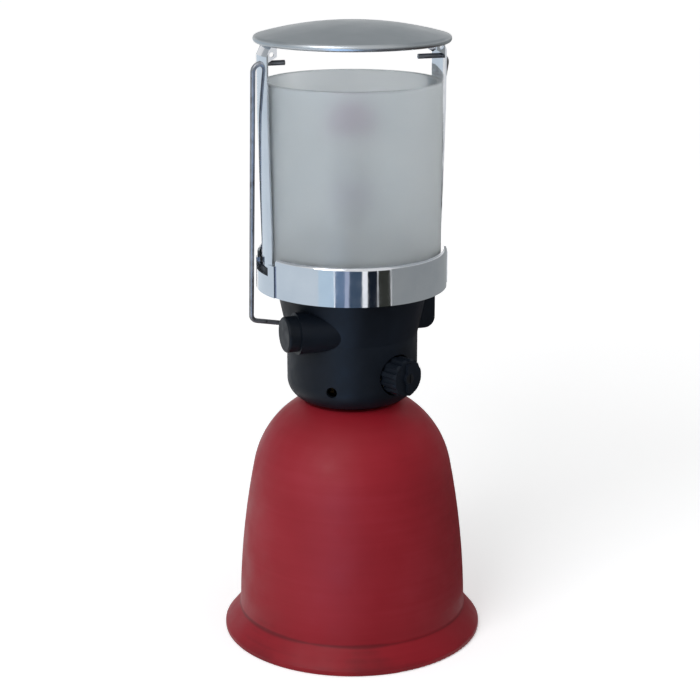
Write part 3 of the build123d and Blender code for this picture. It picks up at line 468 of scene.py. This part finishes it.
def seen_directly(tree):
    """1 for the rays that show the background: the camera's own, and those off metal or through glass."""
    path = tree.nodes.new("ShaderNodeLightPath")
    shown = path.outputs["Is Camera Ray"]
    for ray in "Is Glossy Ray", "Is Transmission Ray":
        either = tree.nodes.new("ShaderNodeMath")
        either.operation = "MAXIMUM"
        tree.links.new(shown, either.inputs[0])
        tree.links.new(path.outputs[ray], either.inputs[1])
        shown = either.outputs[0]
    return shown


def floor_finish():
    """White floor that keeps shadows: it glows more the further it lies from the lamps over the lantern."""
    finish = Finish("floor", base_color=FLOOR_TONE, roughness=0.9, specular_ior_level=0.1, emission_color=WHITE)
    reach = finish.node("ShaderNodeVectorMath", vector=finish.place)
    reach.operation = "LENGTH"
    furthest = FLOOR_FILL[-1][0]
    share = finish.node("ShaderNodeMapRange", value=reach.outputs["Value"], from_max=furthest)
    stops = [(place / furthest, (level, level, level, 1)) for place, level in FLOOR_FILL]
    fill = finish.maths("MULTIPLY", seen_directly(finish.tree), finish.ramp(share.outputs[0], stops))
    finish.tree.links.new(fill, finish.shader.inputs["Emission Strength"])
    return finish.material


def studio():
    bpy.context.scene.view_settings.view_transform = "Standard"
    world = bpy.data.worlds.new("studio")
    world.use_nodes = True
    bpy.context.scene.world = world
    tree = world.node_tree
    back = tree.nodes["Background"]
    back.inputs["Color"].default_value = WHITE
    strength = tree.nodes.new("ShaderNodeMapRange")
    strength.inputs["To Min"].default_value = AMBIENT
    strength.inputs["To Max"].default_value = 1.0
    tree.links.new(seen_directly(tree), strength.inputs["Value"])
    tree.links.new(strength.outputs[0], back.inputs["Strength"])

    half = FLOOR_SIZE / 2
    corners = [(-half, -half, 0), (half, -half, 0), (half, half, 0), (-half, half, 0)]
    mesh_piece("floor", corners, [(0, 1, 2, 3)], floor_finish())


def lamp(
    name, azimuth, height, size, power, tone,
    reach=LAMP_REACH, shine=False, aim=LANTERN_MIDDLE, spread=180,
):
    """Soft box that faces a height on the lantern, and shows in gloss if it has to shine."""
    data = bpy.data.lights.new(name, "AREA")
    data.shape = "RECTANGLE"
    data.size, data.size_y = size
    data.energy = power
    data.color = tone
    data.spread = radians(spread)
    made = linked(name, data)
    made.visible_glossy = shine
    made.location = around(azimuth, reach, height)
    made.rotation_euler = (Vector((0, 0, aim)) - made.location).to_track_quat("-Z", "Y").to_euler()


def card(name, start, end, low, high, tone):
    """Card that only gloss shows: azimuths from the camera's own, and (reach, height) of its two edges."""
    finish = Finish(name, base_color=BLACK, specular_ior_level=0.0, emission_color=tone, emission_strength=1.0)
    points, faces = [], []
    for step in range(CARD_STEPS + 1):
        azimuth = CAMERA_AZIMUTH + start + (end - start) * step / CARD_STEPS
        points += [around(azimuth, *low), around(azimuth, *high)]
    for step in range(CARD_STEPS):
        faces.append((2 * step, 2 * step + 2, 2 * step + 3, 2 * step + 1))
    made = mesh_piece(name, points, faces, finish.material)
    made.visible_camera = False
    made.visible_shadow = False
    made.visible_diffuse = False
    made.visible_transmission = False


def lights():
    lamp("key", azimuth=-52, height=0.72, size=(0.6, 0.8), power=7.5, tone=(0.95, 0.97, 1.0), shine=True)
    lamp(
        "fill", azimuth=70, height=0.42, size=(0.15, 0.12), power=0.07, tone=(1.0, 0.98, 0.96),
        aim=GLASS_MIDDLE, spread=18,
    )
    lamp("top", azimuth=0, height=1.25, size=(0.8, 0.8), power=3.2, tone=(1.0, 1.0, 1.0), reach=0.05)
    card("card_left", -150, -40, FOOT, WAIST, rgb(228, 240, 250))
    card("card_edge", -40, -20, FOOT, KNEE, rgb(214, 237, 255))
    card("card_blue", -19, -8, FOOT, KNEE, rgb(118, 140, 170))
    card("card_gap", -8, -3, FOOT, KNEE, rgb(190, 200, 225))
    card("card_navy", -3, 11, FOOT, KNEE, rgb(72, 90, 112))
    card("card_black", 17, 29, FOOT, KNEE, rgb(24, 32, 44))
    card("card_brown", 30, 45, FOOT, KNEE, rgb(58, 60, 55))
    card("card_right", 46, 170, FOOT, WAIST, rgb(162, 166, 167))
    card("card_sky", 60, 290, HEAD, SKY, rgb(190, 194, 197))
    card("card_floor", 5, 175, FLAT_NEAR, FLAT_FAR, rgb(84, 74, 72))
    card("card_window", -26, -5, FLAT_MIDDLE, FLAT_FAR, WINDOW_GLOW)


def mantle_sections():
    """(Height, radius, depth of the pleats, depth of the folds) from the mantle's mouth up, and its top."""
    low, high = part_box("mantle")
    head_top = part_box("burner_head")[1]
    gauze_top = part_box("burner_gauze")[1]
    ring_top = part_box("mantle_support")[1]
    tie_low, tie_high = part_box("mantle_tie")
    tie_z = (tie_low[2] + tie_high[2]) / 2
    tied_r = tie_high[0] - 2 * STRING_R - MANTLE_CLEAR
    head_r = head_top[0] + 2 * MANTLE_CLEAR
    crown_r = (high[0] + ring_top[0]) / 2 + MANTLE_CLEAR
    waist_z = (gauze_top[2] + ring_top[2]) / 2
    waist_r = crown_r * MANTLE_WAIST
    dome = high[2] - ring_top[2]
    sections = [
        (low[2], head_r + 2 * PLEAT_DEPTH, 2.0, 0.0),
        (tie_z - TIE_HALF, head_r, 1.4, 0.0),
        (tie_z, tied_r, 0.5, 0.0),
        (tie_z + TIE_HALF, head_r, 1.2, 0.0),
        (head_top[2], head_r + PLEAT_DEPTH, 0.8, 0.1),
        ((head_top[2] + gauze_top[2]) / 2, head_r + PLEAT_DEPTH, 0.5, 0.2),
        (gauze_top[2], (head_r + waist_r) / 2 + PLEAT_DEPTH, 0.2, 0.5),
        ((gauze_top[2] + waist_z) / 2, (waist_r * 2 + head_r) / 3, 0.0, 0.9),
        (waist_z, waist_r, 0.0, 1.0),
        ((waist_z + ring_top[2]) / 2, (waist_r + crown_r) / 2, 0.0, 0.7),
    ]
    for up, wide, fold in MANTLE_CROWN:
        sections.append((ring_top[2] + dome * up, crown_r * wide, 0.0, fold))
    return sections, high[2]


def mantle(cloth):
    """Knitted sock in the place of its solid: pleats where it is tied, hanging folds, full over its ring."""
    sections, top = mantle_sections()
    points, faces = [], []
    for row, (height, radius, pleat, fold) in enumerate(sections):
        for column in range(MANTLE_ROUND):
            angle = 2 * pi * column / MANTLE_ROUND
            drift = angle + FOLD_SWAY * sin(2 * angle) + FOLD_TWIST * row
            reach = radius + pleat * PLEAT_DEPTH * cos(PLEATS * angle) + fold * FOLD_DEPTH * cos(FOLDS * drift)
            points.append((reach * cos(angle), reach * sin(angle), height))
    points.append((0, 0, top))
    last = len(sections) - 1
    for column in range(MANTLE_ROUND):
        after = (column + 1) % MANTLE_ROUND
        for row in range(last):
            below, above = row * MANTLE_ROUND, (row + 1) * MANTLE_ROUND
            faces.append((below + column, below + after, above + after, above + column))
        faces.append((last * MANTLE_ROUND + column, last * MANTLE_ROUND + after, len(points) - 1))
    sock = mesh_piece("mantle_sock", points, faces, cloth)
    sock.modifiers.new("smooth", "SUBSURF").render_levels = 1
    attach(sock, "head")
    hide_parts("mantle")


def knot_route(lap_r, lap_z):
    """Closed loop of three lobes that stands on the lap."""
    turned = radians(KNOT_ANGLE)
    outward = Vector((cos(turned), sin(turned), 0))
    across = Vector((-outward.y, outward.x, 0))
    middle = outward * (lap_r + STRING_R) + Vector((0, 0, lap_z))
    route = []
    for step in range(KNOT_STEPS):
        turn = 2 * pi * step / KNOT_STEPS
        wide = KNOT_R * (1 + KNOT_LOBE * cos(3 * turn))
        place = middle + across * wide * cos(2 * turn) + Vector((0, 0, wide * sin(2 * turn)))
        route.append(place + outward * KNOT_R * KNOT_DEPTH * sin(3 * turn))
    return route


def tail_route(lap_r, lap_z, side):
    """Loose end that hangs from the knot."""
    turn = radians(KNOT_ANGLE + side * TAIL_SPREAD)
    out = lap_r + 3 * STRING_R
    return [
        (out * cos(turn), out * sin(turn), lap_z - STRING_R),
        (out * cos(turn), out * sin(turn), lap_z - TAIL_LENGTH / 2),
        ((out + STRING_R) * cos(turn), (out + STRING_R) * sin(turn), lap_z - TAIL_LENGTH),
    ]


def mantle_string(finish):
    """String round the mantle's neck: one lap, knotted in front, with two loose tails."""
    low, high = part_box("mantle_tie")
    lap_r = high[0] - STRING_R
    lap_z = (low[2] + high[2]) / 2
    lap = []
    for step in range(LAP_STEPS + 1):
        angle = radians(KNOT_ANGLE + 360 * step / LAP_STEPS)
        rise = STRING_R * (2 * step / LAP_STEPS - 1)
        lap.append((lap_r * cos(angle), lap_r * sin(angle), lap_z + rise))
    knot = knot_route(lap_r, lap_z)

    data = bpy.data.curves.new("mantle_string", "CURVE")
    data.dimensions = "3D"
    data.bevel_depth = STRING_R
    data.bevel_resolution = STRING_BEVEL
    data.use_fill_caps = True
    for route in tail_route(lap_r, lap_z, -1)[::-1] + lap + tail_route(lap_r, lap_z, 1), knot:
        spline = data.splines.new("NURBS")
        spline.points.add(len(route) - 1)
        for point, place in zip(spline.points, route):
            point.co = (*place, 1)
        spline.use_cyclic_u = route is knot
        spline.order_u = STRING_ORDER
        spline.use_endpoint_u = route is not knot
    data.materials.append(finish)
    piece = linked("mantle_string", data)
    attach(piece, "head")
    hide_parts("mantle_tie")


def button_spring():
    """Coil behind the igniter's button: a piece of its own, because it shortens as the button goes in."""
    coil = linked("button_spring", nodes["igniter_spring"].data.copy())
    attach(coil, "head")
    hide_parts("igniter_spring")
    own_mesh(coil)


finishes = dress()
camera()
studio()
lights()
mantle(finishes["mantle_cloth"])
mantle_string(finishes["string"])
button_spring()
